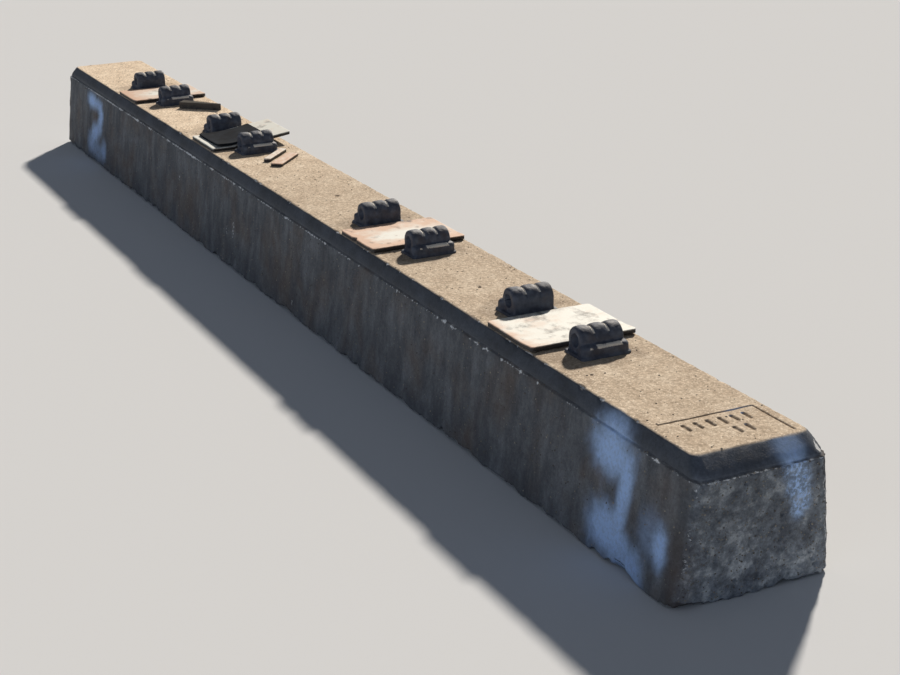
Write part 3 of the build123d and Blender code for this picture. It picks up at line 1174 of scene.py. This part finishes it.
@dataclass
class ImpressedFrame:
    """A thin frame with two rows of plain dashes, pressed into the top near one end."""

    top: float
    left: float = 1.458
    right: float = 1.556
    near: float = -0.078
    far: float = 0.078
    line_width: float = 0.0030
    depth: float = 0.0026
    beside: float = 1.6
    dash_length: float = 0.018
    dash_width: float = 0.0058
    rows: tuple[tuple[float, tuple[float, ...]], ...] = (
        (1.484, (-0.050, -0.030, -0.010, 0.010, 0.030, 0.050)),
        (1.520, (0.010, 0.030)),
    )

    def strokes(self) -> list[tuple[float, float, float, float, float]]:
        """Lists the strokes as start, end and width in plan."""
        lines = [
            (self.left, self.near, self.left, self.far, self.line_width),
            (self.left, self.far, self.right, self.far, self.line_width),
        ]
        half = self.dash_length / 2
        for row, dashes in self.rows:
            lines += [(row - half, y, row + half, y, self.dash_width) for y in dashes]
        return lines

    def distance(self, x: Rows, y: Rows) -> Rows:
        """How far each place is from the nearest stroke's middle line, in stroke widths."""
        found = np.full(np.shape(x), np.inf)
        for x0, y0, x1, y1, width in self.strokes():
            run = np.array((x1 - x0, y1 - y0))
            t = np.clip(((x - x0) * run[0] + (y - y0) * run[1]) / (run @ run), 0, 1)
            away = np.hypot(x - x0 - t * run[0], y - y0 - t * run[1])
            found = np.minimum(found, away / width)
        return found

    def near_point(self, p: Vector) -> bool:
        """Whether a place on the top lies beside a stroke."""
        if p.z < self.top - 0.001 or p.x < self.left - 0.01:
            return False
        return bool(self.distance(np.array(p.x), np.array(p.y)) < self.beside)

    def depth_at(self, points: Rows) -> Rows:
        """How deep the strokes are pressed in at each point."""
        shown = (points[:, 2] > self.top - 0.001) & (points[:, 0] > self.left - 0.02)
        depth = np.zeros(len(points))
        away = self.distance(points[shown, 0], points[shown, 1])
        depth[shown] = self.depth * (1 - smooth_step(away, 0.25, 0.75))
        return depth


@dataclass
class ExposedAggregate:
    """Bare stones and grit that stand out of the concrete, thickest where it is stony."""

    per_area: float = 20000.0
    smallest: float = 0.0006
    largest: float = 0.0021
    flatness: float = 0.55
    bias_to_small: float = 2.6
    seed: int = 23

    def build(self, concrete: Piece, finish: Material) -> Piece:
        """Scatters small rounded stones over the finished concrete, each turned and sized by chance.

        Args:
            concrete: The concrete, whose mesh says how stony each part is.
            finish: The stones' material.

        Returns:
            The stones as one piece.
        """
        nodes = Grower("exposed_stones", {
            "Stones Per Area": self.per_area,
            "Smallest": self.smallest,
            "Largest": self.largest,
            "Flatness": self.flatness,
            "Seed": self.seed,
            "Material": finish,
        })
        given = nodes.given
        stony = nodes.add("GeometryNodeInputNamedAttribute", {"Name": Field.STONY.value}, data_type="FLOAT")
        density = nodes.math("MULTIPLY", stony.outputs["Attribute"], given["Stones Per Area"])
        spots = nodes.add(
            "GeometryNodeDistributePointsOnFaces",
            {"Mesh": given["Geometry"], "Density": density, "Seed": given["Seed"]},
        )
        stone = nodes.add("GeometryNodeMeshIcoSphere", {"Radius": 1.0, "Subdivisions": 1})
        squeezed = nodes.add("ShaderNodeCombineXYZ", {"X": 1.0, "Y": 0.8, "Z": given["Flatness"]})
        flat = nodes.add("GeometryNodeTransform", {"Geometry": stone, "Scale": squeezed})
        random_value = "FunctionNodeRandomValue"
        chance = nodes.add(random_value, {"Min": 0.0, "Max": 1.0, "Seed": given["Seed"]}, data_type="FLOAT")
        mostly_small = nodes.math("POWER", chance, self.bias_to_small)
        size = nodes.span(mostly_small, start=given["Smallest"], end=given["Largest"])
        turn = nodes.add(random_value, {"Max": (0.5, 0.5, 6.28), "Seed": 7}, data_type="FLOAT_VECTOR")
        laid = nodes.add(
            "FunctionNodeRotateRotation", {"Rotation": spots.outputs["Rotation"], "Rotate By": turn},
            rotation_space="LOCAL",
        )
        copies = nodes.add(
            "GeometryNodeInstanceOnPoints",
            {"Points": spots, "Instance": flat, "Rotation": laid, "Scale": size},
        )
        tone = nodes.add(random_value, {"Min": 0.0, "Max": 1.0, "Seed": 3}, data_type="FLOAT")
        toned = nodes.add(
            "GeometryNodeStoreNamedAttribute", {"Geometry": copies, "Name": "tone", "Value": tone},
            data_type="FLOAT", domain="INSTANCE",
        )
        return dress("exposed_stones", nodes.grow(concrete.data.copy(), toned), finish, "concrete")


@dataclass
class ClipHousing:
    """The ribbed tube that once held a rail clip: a line swept with a radius that swells into humps."""

    length: float = 0.075
    radius: float = 0.022
    groove_radius: float = 0.0180
    groove_width: float = 0.0020
    humps: int = 3
    fullness: float = 3.6
    rings: int = 121
    sides: int = 56

    def radius_at(self, along: Rows) -> Rows:
        """The tube's radius at each place along it, as the tree works it out."""
        step = (self.length + self.groove_width) / self.humps
        share = np.minimum(np.mod(along + self.length / 2, step) / (step - self.groove_width), 1)
        swell = np.sqrt(np.clip(1 - np.abs(2 * share - 1) ** self.fullness, 0, 1))
        return self.groove_radius + (self.radius - self.groove_radius) * swell

    def build(self, finish: Material) -> Mesh:
        """Builds the tube about the Y axis: a line, its swelling radius, and a ring swept along it."""
        nodes = Grower("clip_housing", {
            "Length": self.length,
            "Radius": self.radius,
            "Groove Radius": self.groove_radius,
            "Groove Width": self.groove_width,
            "Humps": float(self.humps),
            "Fullness": self.fullness,
            "Rings": self.rings,
            "Material": finish,
        })
        given, math_node = nodes.given, nodes.math
        start, end = (
            nodes.add("ShaderNodeCombineXYZ", {"Y": math_node("MULTIPLY", given["Length"], half)})
            for half in (-0.5, 0.5)
        )
        line = nodes.add("GeometryNodeCurvePrimitiveLine", {"Start": start, "End": end})
        rings = nodes.add("GeometryNodeResampleCurve", {"Curve": line, "Count": given["Rings"]})
        both = math_node("ADD", given["Length"], given["Groove Width"])
        step = math_node("DIVIDE", both, given["Humps"])
        hump = math_node("SUBTRACT", step, given["Groove Width"])
        phase = math_node("MODULO", nodes.add("GeometryNodeSplineParameter").outputs["Length"], step)
        share = math_node("MINIMUM", math_node("DIVIDE", phase, hump), 1.0)
        away = math_node("ABSOLUTE", math_node("MULTIPLY_ADD", share, 2.0, -1.0))
        fall = math_node("POWER", away, given["Fullness"])
        rounded = math_node("POWER", math_node("SUBTRACT", 1.0, fall), 0.5)
        radius = nodes.span(rounded, start=given["Groove Radius"], end=given["Radius"])
        ring = nodes.add("GeometryNodeCurvePrimitiveCircle", {"Resolution": self.sides, "Radius": 1.0})
        swept = nodes.add(
            "GeometryNodeCurveToMesh",
            {"Curve": rings, "Profile Curve": ring, "Scale": radius, "Fill Caps": True},
        )
        return nodes.grow(bpy.data.meshes.new("start"), swept)


@dataclass
class CastShoulder:
    """A cast shoulder: clip housing on its block, heel behind it and foot plate round both.

    Places are measured outwards from the middle of the rail seat, and up from the concrete.
    """

    housing: ClipHousing = field(default_factory=ClipHousing)
    axis_offset: float = 0.108
    axis_height: float = 0.0225
    bore_radius: float = 0.0115
    block_corner: float = 0.005
    heel_start: float = 0.1195
    heel_end: float = 0.1415
    heel_length: float = 0.085
    heel_height: float = 0.021
    heel_corner: float = 0.0105
    heel_arris: float = 0.008
    foot_start: float = 0.084
    foot_end: float = 0.1435
    foot_length: float = 0.089
    foot_thickness: float = 0.004
    foot_corner: float = 0.007
    foot_arris: float = 0.0018
    sunk: float = 0.004
    face_rise: float = 0.017
    cell: float = 0.003
    voxel: float = 0.00125
    roughness: float = 0.00028

    def block(self) -> tuple[Rows, list]:
        """Lays out the block under the tube, whose rail face fades from ribs to flat."""
        half = self.housing.length / 2
        y = np.linspace(-half, half, 76)
        z = np.linspace(-self.sunk, self.axis_height + self.face_rise, 34)
        x = np.linspace(-1, 1, 15)
        steps, faces = box_skin((len(x), len(y), len(z)))
        along, up = y[steps[:, 1]], z[steps[:, 2]]
        ribbed = smooth_step(up, self.axis_height + 0.002, self.axis_height + self.face_rise)
        full = self.housing.radius
        reach = full - (full - self.housing.radius_at(along)) * ribbed
        half_width = np.sqrt(reach**2 - np.clip(up - self.axis_height, 0, None) ** 2)
        half_length, corner = np.full(len(up), half), np.full(len(up), self.block_corner)
        plan_x, plan_y = round_plan(x[steps[:, 0]] * half_width, along, half_width, half_length, corner)
        return np.stack((plan_x + self.axis_offset, plan_y, up), -1), faces

    def base_block(
        self, start: float, end: float, length: float, height: float, *edges: float
    ) -> tuple[Rows, list]:
        """Lays out the heel or the foot between two places outwards from the seat."""
        points, faces = rounded_block((end - start, length, height), *edges, self.cell)
        points[:, 0] += (start + end) / 2
        return points, faces

    def master(self, finish: Material) -> Mesh:
        """Casts one shoulder, its rail seat's middle at the origin.

        Args:
            finish: The iron's material.

        Returns:
            The shoulder's mesh.
        """
        to_axis = Matrix.Translation((self.axis_offset, 0, self.axis_height))
        tube = self.housing.build(finish)
        tube.transform(to_axis)
        heel = self.base_block(
            self.heel_start, self.heel_end, self.heel_length, self.heel_height,
            self.heel_corner, self.heel_arris,
        )
        foot = self.base_block(
            self.foot_start, self.foot_end, self.foot_length, self.foot_thickness + self.sunk,
            self.foot_corner, self.foot_arris,
        )
        foot[0][:, 2] -= self.sunk
        work = bmesh.new()
        work.from_mesh(tube)
        for points, faces in (self.block(), heel, foot):
            part = make_mesh("part", points, faces)
            work.from_mesh(part)
            bpy.data.meshes.remove(part)
        whole = bpy.data.meshes.new("shoulder_shell")
        work.to_mesh(whole)
        work.free()
        bore = bmesh.new()
        bmesh.ops.create_cone(
            bore, cap_ends=True, segments=64, radius1=self.bore_radius, radius2=self.bore_radius,
            depth=2 * self.heel_length, matrix=to_axis @ Matrix.Rotation(math.pi / 2, 4, "X"),
        )
        drill_mesh = bpy.data.meshes.new("drill")
        bore.to_mesh(drill_mesh)
        bore.free()
        drill = place_piece("drill", drill_mesh, None)
        piece = place_piece("shoulder_shell", whole, finish)
        piece.modifiers.new("Cast", "REMESH").voxel_size = self.voxel
        smoothing = piece.modifiers.new("Settle", "SMOOTH")
        smoothing.factor, smoothing.iterations = 0.5, 3
        cut = piece.modifiers.new("Bore", "BOOLEAN")
        cut.operation, cut.object, cut.solver = "DIFFERENCE", drill, "EXACT"
        mesh = settled_mesh(piece, "shoulder_master")
        bpy.data.objects.remove(drill)
        return mesh

    def pale_dust_and_glints(self, points: Rows, normals: Rows, rough: Rows) -> Rows:
        """Works out where the pale marks lie, in the grooves and along the heel's rim: partly settled
        dust, partly painted glints where the sun catches them.

        Args:
            points: The shoulder's points, outwards from its rail seat's middle.
            normals: The normal at each.
            rough: Noise that breaks the dust up.

        Returns:
            A number from 0 to 1 for each point.
        """
        outward, along, up = points.T
        housing = self.housing
        depth = (housing.radius - housing.radius_at(along)) / (housing.radius - housing.groove_radius)
        on_tube = (up > self.axis_height + 0.012) & (np.abs(along) < housing.length / 2 - 0.001)
        grooves = np.where(on_tube, smooth_step(depth, 0.35, 0.85), 0)
        rim = smooth_step(outward, self.heel_end - 0.0085, self.heel_end - 0.0045)
        rim *= (up > self.heel_height - 0.006) & (up < self.heel_height + 0.002)
        lying = smooth_step(rumple(points * (0.5, 1, 0.5), 0.030, 2, 5.3), -0.05, 0.12)
        upward = smooth_step(normals[:, 2], 0.1, 0.6)
        return np.clip((grooves + 0.95 * rim * lying) * upward * (0.9 + 0.2 * rough), 0, 1)

    def place(
        self, master: Mesh, number: int, side: Side, seat_x: float, level: float, finish: Material
    ) -> Piece:
        """Stands a copy of the shoulder at a rail seat, a little rough in its own way.

        Args:
            master: The mesh that it copies.
            number: The seat's number.
            side: The side of the seat that it stands on.
            seat_x: The seat's middle along X.
            level: The height of the concrete's top.
            finish: The iron's material.

        Returns:
            The finished piece.
        """
        node = f"shoulder_{number}_{side.name.lower()}"
        mesh = master.copy()
        mesh.name = f"cast_{node}"
        points, normals = read_points(mesh), read_normals(mesh)
        offset = 10.0 * number + side.value
        rough = rumple(points, 0.006, 4, offset) + 1.4 * rumple(points, 0.022, 2, offset + 3)
        # pale marks: partly settled dust, partly painted sun glints
        store(mesh, "dust_and_glint", self.pale_dust_and_glints(points, normals, rough))
        points = points + normals * (self.roughness * rough)[:, None]
        points[:, :2] *= side.value
        write_points(mesh, points + (seat_x, 0, level))
        mesh.shade_smooth()
        return dress(f"cast_{node}", mesh, finish, "cast_iron", node)


@dataclass(frozen=True)
class Bend:
    """How the second pad, and the sheet on it, rise evenly from a bend line towards the far side."""

    line: float = -0.044
    far: float = 0.097
    lift: float = 0.020
    ease: float = 0.012

    def rise(self, y: Rows) -> Rows:
        """How far each place across the sleeper is lifted."""
        past = y - self.line
        eased = (past + self.ease) ** 2 / (4 * self.ease)
        eased = np.where(np.abs(past) < self.ease, eased, np.clip(past, 0, None))
        return self.lift * eased / (self.far - self.line)


@dataclass(frozen=True)
class Notch:
    """A torn bite out of a pad's near edge, between two places along X."""

    start: float
    end: float
    depth: float


@dataclass
class RailPad:
    """A moulded plastic pad, stained, with edges that lift a little.

    Stain and grime say how rusty and how dirty it is; the centre value says how far its middle is painted
    white, a painted highlight where the sun's glare lay. Edge_lift raises its edge towards the near end. A
    bent pad gets no stain along its near edge and no grime beside the shoulders.
    """

    number: int
    seat_x: float
    material_slot: str
    stain: float
    centre_glare: float
    grime: float
    shift: float = 0.0
    bend: Bend | None = None
    edge_lift: float = 0.0016
    notches: tuple[Notch, ...] = ()
    size: Triple = (0.150, 0.188, 0.0075)
    corner: float = 0.005
    arris: float = 0.0009
    lower_arris: float = 0.0007
    cell: float = 0.0026
    side_tear: float = 0.0007
    end_tear: float = 0.0009
    waves: float = 0.0005
    relief: float = 0.00012

    def build(self, level: float, finish: Material) -> Piece:
        """Builds and stains the pad.

        Args:
            level: The height of the concrete's top.
            finish: The plastic's material.

        Returns:
            The finished piece.
        """
        points, faces = rounded_block(self.size, self.corner, self.arris, self.cell, self.lower_arris)
        x, y, z = points.T.copy()
        half_x, half_y = self.size[0] / 2, self.size[1] / 2
        offset = 5.0 * self.number

        def over_plan(
            size: float, octaves: int, seed: float, squeeze_x: float = 1, squeeze_y: float = 1
        ) -> Rows:
            """Noise that is the same all the way down through the pad."""
            return rumple(np.stack((squeeze_x * x, squeeze_y * y, 0 * z), -1), size, octaves, offset + seed)

        rim_start = 0.93
        edge = np.clip(over_plan(0.017, 3, 0), 0, 1)
        edge *= smooth_step(np.maximum(np.abs(x) / half_x, np.abs(y) / half_y), rim_start, 1.0)
        x -= np.sign(x) * self.side_tear * edge * (np.abs(x) > half_x * rim_start)
        y -= np.sign(y) * self.end_tear * edge * (np.abs(y) > half_y * rim_start)
        for notch in self.notches:
            across = (x - notch.start) / (notch.end - notch.start)
            bite = notch.depth * np.clip(1 - np.abs(2 * across - 1), 0, 1) ** 0.6
            y += bite * smooth_step(-y, half_y - 3 * notch.depth, half_y)
        lift = self.edge_lift * smooth_step(x, 0.45 * half_x, half_x)
        lift += self.waves * np.clip(over_plan(0.09, 2, 2), 0, 1)
        y += self.shift
        if self.bend:
            lift += self.bend.rise(y)
        z = np.maximum(z + lift + self.relief * rumple(points, 0.004, 2, offset), 0)
        name = f"plastic_pad_{self.number}"
        mesh = make_mesh(name, np.stack((x, y, z), -1), faces)
        mesh.transform(Matrix.Translation((self.seat_x, 0, level)))
        # painted highlight: the pad's middle is cleared to white where the sun's glare lay
        white = self.centre_glare * bell(x, 0.004, 0.55 * half_x)
        white *= bell(y, self.shift + 0.012, 0.85 * half_y)
        unbent = 0.0 if self.bend else 1.0
        near_edge = 0.5 * unbent * bell(y, self.shift - half_y, 0.014)
        patchy = 0.30 * over_plan(0.035, 3, 4, squeeze_y=0.6)
        store(mesh, "stain", np.clip(self.stain - white + patchy + near_edge, 0, 1))
        near_shoulders = bell(np.abs(x), half_x, 0.012) * smooth_step(-np.abs(y), -0.070, -0.03)
        spots = np.clip(over_plan(0.018, 4, 6, squeeze_x=0.7) - 0.1, 0, 1)
        # painted shade: the pad's upright sides are darkened with the grime colour
        sides = 1 - smooth_step(z - lift, self.size[2] * 0.60, self.size[2] * 0.99)
        grime = self.grime + 0.4 * unbent * near_shoulders + 0.8 * spots + 1.4 * sides
        store(mesh, "grime", np.clip(grime, 0, 1.5))
        return dress(name, mesh, finish, self.material_slot, f"rail_pad_{self.number}")


@dataclass
class LooseSheet:
    """The dark rubber sheet on the second pad, following its bend; its darkness also stands in for the
    shade over this seat, so it is partly painted shade.
    """

    seat_x: float
    bend: Bend = field(default_factory=Bend)
    centre: tuple[float, float] = (0.004, -0.017)
    underside: float = 0.0076
    edge_lift: float = 0.0025
    hollow: float = 0.011
    size: Triple = (0.138, 0.120, 0.005)
    corner: float = 0.004
    arris: float = 0.0012
    cell: float = 0.0022
    waves: float = 0.0012
    relief: float = 0.00025

    def build(self, level: float, finish: Material) -> Piece:
        """Builds the sheet, worn thin and a little wavy at its edges."""
        points, faces = rounded_block(self.size, self.corner, self.arris, self.cell, self.arris)
        x, y, z = points.T.copy()
        length, width, _ = self.size
        wavy = np.clip(rumple(np.stack((x, y, 0 * z), -1), 0.05, 2, 71.0), 0, 1)
        z += self.waves * wavy * smooth_step(np.abs(y), 0.02, width / 2)
        z += self.relief * np.clip(rumple(points, 0.007, 3, 75.0), 0, 1)
        z += self.edge_lift * smooth_step(x, 0.3 * length, 0.5 * length)
        y += self.centre[1]
        x += self.hollow * bell(y, 0.0, 0.034) * smooth_step(-x, 0.0, length / 2)
        z += self.bend.rise(y) + level + self.underside
        mesh = make_mesh("rubber_sheet_and_shade", np.stack((x + self.seat_x + self.centre[0], y, z), -1), faces)
        return dress("rubber_sheet_and_shade", mesh, finish, "dark_rubber", "loose_sheet")


@dataclass
class LooseOffcut:
    """A strip or bar left lying on the top; one side may narrow to a blunt tip."""

    name: str
    node: str
    material_slot: str
    size: Triple
    place: Triple
    tip_width: float = 0.0
    taper_run: float = 0.0
    stain: float = 0.5
    grime: float = 0.3
    corner: float = 0.0025
    arris: float = 0.0009
    cell: float = 0.0017
    wear: float = 0.0005

    def build(self, level: float, finish: Material) -> Piece:
        """Builds the offcut where it lies.

        Args:
            level: The height of the concrete's top.
            finish: Its material.

        Returns:
            The finished piece.
        """
        length, width, height = self.size
        corner = min(self.corner, width / 3)
        points, faces = rounded_block(self.size, corner, self.arris, self.cell, self.arris)
        if self.taper_run:
            run = np.clip((points[:, 0] - length / 2 + self.taper_run) / self.taper_run, 0, 1)
            keep = 1 - run * (1 - self.tip_width / width)
            points[:, 1] = (points[:, 1] + width / 2) * keep - width / 2
        worn = rumple(points, 0.012, 3, 90.0 + 100 * abs(self.place[0]))
        outwards = np.array([(Vector(p) / max(width, height)).normalized() for p in points])
        points = points + outwards * (self.wear * worn)[:, None]
        points[:, 2] = np.maximum(points[:, 2], 0)
        mesh = make_mesh(self.name, points, faces)
        x, y, turn = self.place
        mesh.transform(Matrix.Translation((x, y, level)) @ Matrix.Rotation(math.radians(turn), 4, "Z"))
        # painted shade: the offcut's upright sides are darkened with grime and kept free of dust
        sides = 1 - smooth_step(points[:, 2], 0.5 * height, 0.95 * height)
        store(mesh, "stain", np.clip(self.stain + 0.3 * worn - 0.3 * sides, 0, 1))
        store(mesh, "grime", np.clip(self.grime + 0.3 * worn + 1.4 * sides, 0, 1.5))
        return dress(self.name, mesh, finish, self.material_slot, self.node)


@dataclass(frozen=True)
class Lamp:
    """A far lamp: its colour, strength, apparent width and the way that its light comes from."""

    name: str
    colour: str
    strength: float
    width: float
    direction: Triple


@dataclass
class Studio:
    """A pale floor, a low sun behind and to the left, a soft fill, an even sky and the camera."""

    floor_colour: str = "#e0e3e6"
    floor_reach: float = 20.0
    sky_colour: str = "#dfe9fb"
    sky_strength: float = 0.12
    lamps: tuple[Lamp, ...] = (
        Lamp("low_sun", "#fff5e8", 4.5, 0.06, (-0.606, 0.579, 0.551)),
        Lamp("soft_fill", "#d6e6ff", 0.50, 0.9, (0.50, -0.85, 0.12)),
    )
    camera_place: Triple = (3.3026, -1.2879, 1.1270)
    heading: float = 64.11
    pitch: float = 19.62
    roll: float = -0.87
    lens: float = 69.2
    view_reach: float = 200.0

    def build(self) -> None:
        """Builds the floor and lights, and aims the camera."""
        self.lay_floor()
        for lamp in self.lamps:
            self.hang(lamp)
        self.lay_sky()
        self.aim()

    def lay_floor(self) -> None:
        """Lays the floor that the sleeper stands on."""
        reach = self.floor_reach
        mesh = bpy.data.meshes.new("floor")
        corners = [(-reach, -reach, 0), (reach, -reach, 0), (reach, reach, 0), (-reach, reach, 0)]
        mesh.from_pydata(corners, [], [(0, 1, 2, 3)])
        material = bpy.data.materials.new("painted_studio_floor")
        material.use_nodes = True
        shader = material.node_tree.nodes["Principled BSDF"]
        matt = {"Base Color": self.floor_colour, "Roughness": 1.0, "Specular IOR Level": 0.0}
        Nodes(material.node_tree).fill(shader, matt)
        place_piece("floor", mesh, material)

    def hang(self, lamp: Lamp) -> None:
        """Sets one lamp."""
        light = bpy.data.lights.new(lamp.name, "SUN")
        light.energy, light.angle = lamp.strength, lamp.width
        light.color = linear(lamp.colour)[:3]
        hung = bpy.data.objects.new(lamp.name, light)
        hung.rotation_euler = Vector(lamp.direction).to_track_quat("Z", "Y").to_euler()
        bpy.context.scene.collection.objects.link(hung)

    def lay_sky(self) -> None:
        """Lays a sky that lights evenly and looks like the floor."""
        world = bpy.data.worlds.new("even_sky")
        bpy.context.scene.world = world
        world.use_nodes = True
        nodes = Nodes(world.node_tree)
        nodes.tree.nodes.clear()
        sky = nodes.add("ShaderNodeBackground", {"Color": self.sky_colour, "Strength": self.sky_strength})
        backdrop = nodes.add("ShaderNodeBackground", {"Color": self.floor_colour, "Strength": 1.0})
        seen = nodes.add("ShaderNodeLightPath").outputs["Is Camera Ray"]
        shown = nodes.add("ShaderNodeMixShader", {0: seen, 1: sky, 2: backdrop})
        nodes.add("ShaderNodeOutputWorld", {"Surface": shown})

    def aim(self) -> None:
        """Places the camera where the photograph was taken from."""
        turn, down, roll = (math.radians(angle) for angle in (self.heading, self.pitch, self.roll))
        ahead = math.cos(down)
        forward = Vector((-math.sin(turn) * ahead, math.cos(turn) * ahead, -math.sin(down)))
        level_right = forward.cross(Vector((0, 0, 1))).normalized()
        level_up = level_right.cross(forward)
        right = level_right * math.cos(roll) + level_up * math.sin(roll)
        up = level_up * math.cos(roll) - level_right * math.sin(roll)
        camera = bpy.data.cameras.new("camera")
        camera.lens, camera.clip_end = self.lens, self.view_reach
        eye = bpy.data.objects.new("camera", camera)
        turned = Matrix((right, up, -forward)).transposed().to_4x4()
        eye.matrix_world = Matrix.Translation(self.camera_place) @ turned
        bpy.context.scene.collection.objects.link(eye)
        bpy.context.scene.camera = eye


@dataclass
class Sleeper:
    """The whole used sleeper: concrete, four rail seats and what lies loose on them."""

    concrete: ConcreteBody = field(default_factory=ConcreteBody)
    aggregate: ExposedAggregate = field(default_factory=ExposedAggregate)
    shoulder: CastShoulder = field(default_factory=CastShoulder)

    def seats(self) -> list[float]:
        """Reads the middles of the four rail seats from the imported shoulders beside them."""
        sides = [
            [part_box(f"shoulder_{number}_{side.name.lower()}") for side in Side] for number in range(1, 5)
        ]
        return [(left[0].x + right[1].x) / 2 for left, right in sides]

    def pads(self, seats: Sequence[float]) -> list[RailPad]:
        """Lists the four pads as they look."""
        return [
            RailPad(1, seats[0], "pad_stained", 0.70, 0.75, 0.04),
            RailPad(2, seats[1], "pad_white", 0.02, 0.15, 0.0, shift=0.003, edge_lift=0.0, bend=Bend()),
            RailPad(3, seats[2], "pad_stained", 0.80, 0.95, 0.06, notches=(Notch(-0.022, -0.002, 0.006),)),
            RailPad(4, seats[3], "pad_white", 0.10, 0.12, 0.16, edge_lift=0.0026),
        ]

    def offcuts(self) -> list[LooseOffcut]:
        """Lists the bar and the two strips."""
        return [
            LooseOffcut(
                "rubber_bar", "loose_bar", "dark_rubber",
                (0.112, 0.027, 0.016), (-0.843, 0.038, 47.0),
                tip_width=0.007, taper_run=0.104, stain=0.85,
            ),
            LooseOffcut(
                "plastic_strip_1", "loose_strip_1", "pad_white",
                (0.100, 0.016, 0.008), (-0.264, 0.016, 138.0),
                stain=0.35, grime=0.1,
            ),
            LooseOffcut(
                "plastic_strip_2", "loose_strip_2", "pad_stained",
                (0.104, 0.027, 0.007), (-0.217, 0.0205, 138.5),
                stain=0.7, grime=0.1,
            ),
        ]

    def build(self) -> None:
        """Builds and dresses every piece."""
        concrete = WeatheredConcrete("weathered_concrete").build()
        stones = ToneByStone("bare_aggregate").build()
        iron = CastIron("oxidised_cast_iron").build()
        plastic = StainedPlastic("rust_stained_plastic").build()
        rubber = AgedRubber("aged_rubber").build()
        seats, level = self.seats(), self.concrete.height
        body = self.concrete.build(concrete, seats)
        self.aggregate.build(body, stones)
        master = self.shoulder.master(iron)
        for number, seat_x in enumerate(seats, start=1):
            for side in Side:
                self.shoulder.place(master, number, side, seat_x, level, iron)
        for pad in self.pads(seats):
            pad.build(level, plastic)
        LooseSheet(seats[1]).build(level, rubber)
        for offcut in self.offcuts():
            offcut.build(level, rubber if offcut.material_slot == "dark_rubber" else plastic)


def main() -> None:
    """Builds the sleeper and its studio."""
    logging.basicConfig(level=logging.INFO, format="%(name)s: %(message)s")
    Sleeper().build()
    Studio().build()
    bpy.context.scene.view_settings.view_transform = "Standard"


if __name__ == "__main__":
    main()
